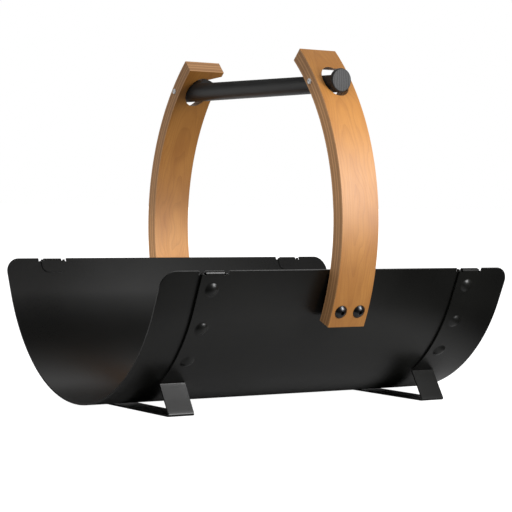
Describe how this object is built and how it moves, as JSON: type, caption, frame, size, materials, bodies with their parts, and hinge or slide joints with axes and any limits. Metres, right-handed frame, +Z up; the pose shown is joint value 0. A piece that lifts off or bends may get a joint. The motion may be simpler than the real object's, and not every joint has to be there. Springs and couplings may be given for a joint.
{
  "type": "firewood log rack",
  "caption": "Carry-in firewood rack: a U-shaped sheet steel trough on bent strip legs, with bent plywood arms and a round wooden handle bar over it.",
  "frame": {"origin": "on the floor, under the middle of the trough", "axes": "+X along the trough, +Y across it towards the back arm, +Z up"},
  "size_m": [0.5, 0.4412, 0.4288],
  "materials": {
    "powder_coated_steel": "satin black powder coat",
    "laminated_plywood": "clear matt lacquer over bent plywood, layered edges",
    "stained_wood": "satin black stain",
    "black_oxide_steel": "dark black oxide, semi-gloss",
    "zinc_plated_steel": "bright zinc",
    "black_nylon": "matt black"
  },
  "bodies": {
    "root": {"trough": "powder_coated_steel", "left_leg_band": "powder_coated_steel", "right_leg_band": "powder_coated_steel", "front_arm": "laminated_plywood", "back_arm": "laminated_plywood", "handle_bar": "stained_wood", "front_handle_screw": "zinc_plated_steel", "back_handle_screw": "zinc_plated_steel", "front_left_bolt": "black_oxide_steel", "front_right_bolt": "black_oxide_steel", "back_left_bolt": "black_oxide_steel", "back_right_bolt": "black_oxide_steel", "front_left_spacer": "black_nylon", "front_right_spacer": "black_nylon", "back_left_spacer": "black_nylon", "back_right_spacer": "black_nylon", "front_left_washer": "black_oxide_steel", "front_right_washer": "black_oxide_steel", "back_left_washer": "black_oxide_steel", "back_right_washer": "black_oxide_steel", "front_left_nut": "black_oxide_steel", "front_right_nut": "black_oxide_steel", "back_left_nut": "black_oxide_steel", "back_right_nut": "black_oxide_steel"}
  },
  "joints": []
}
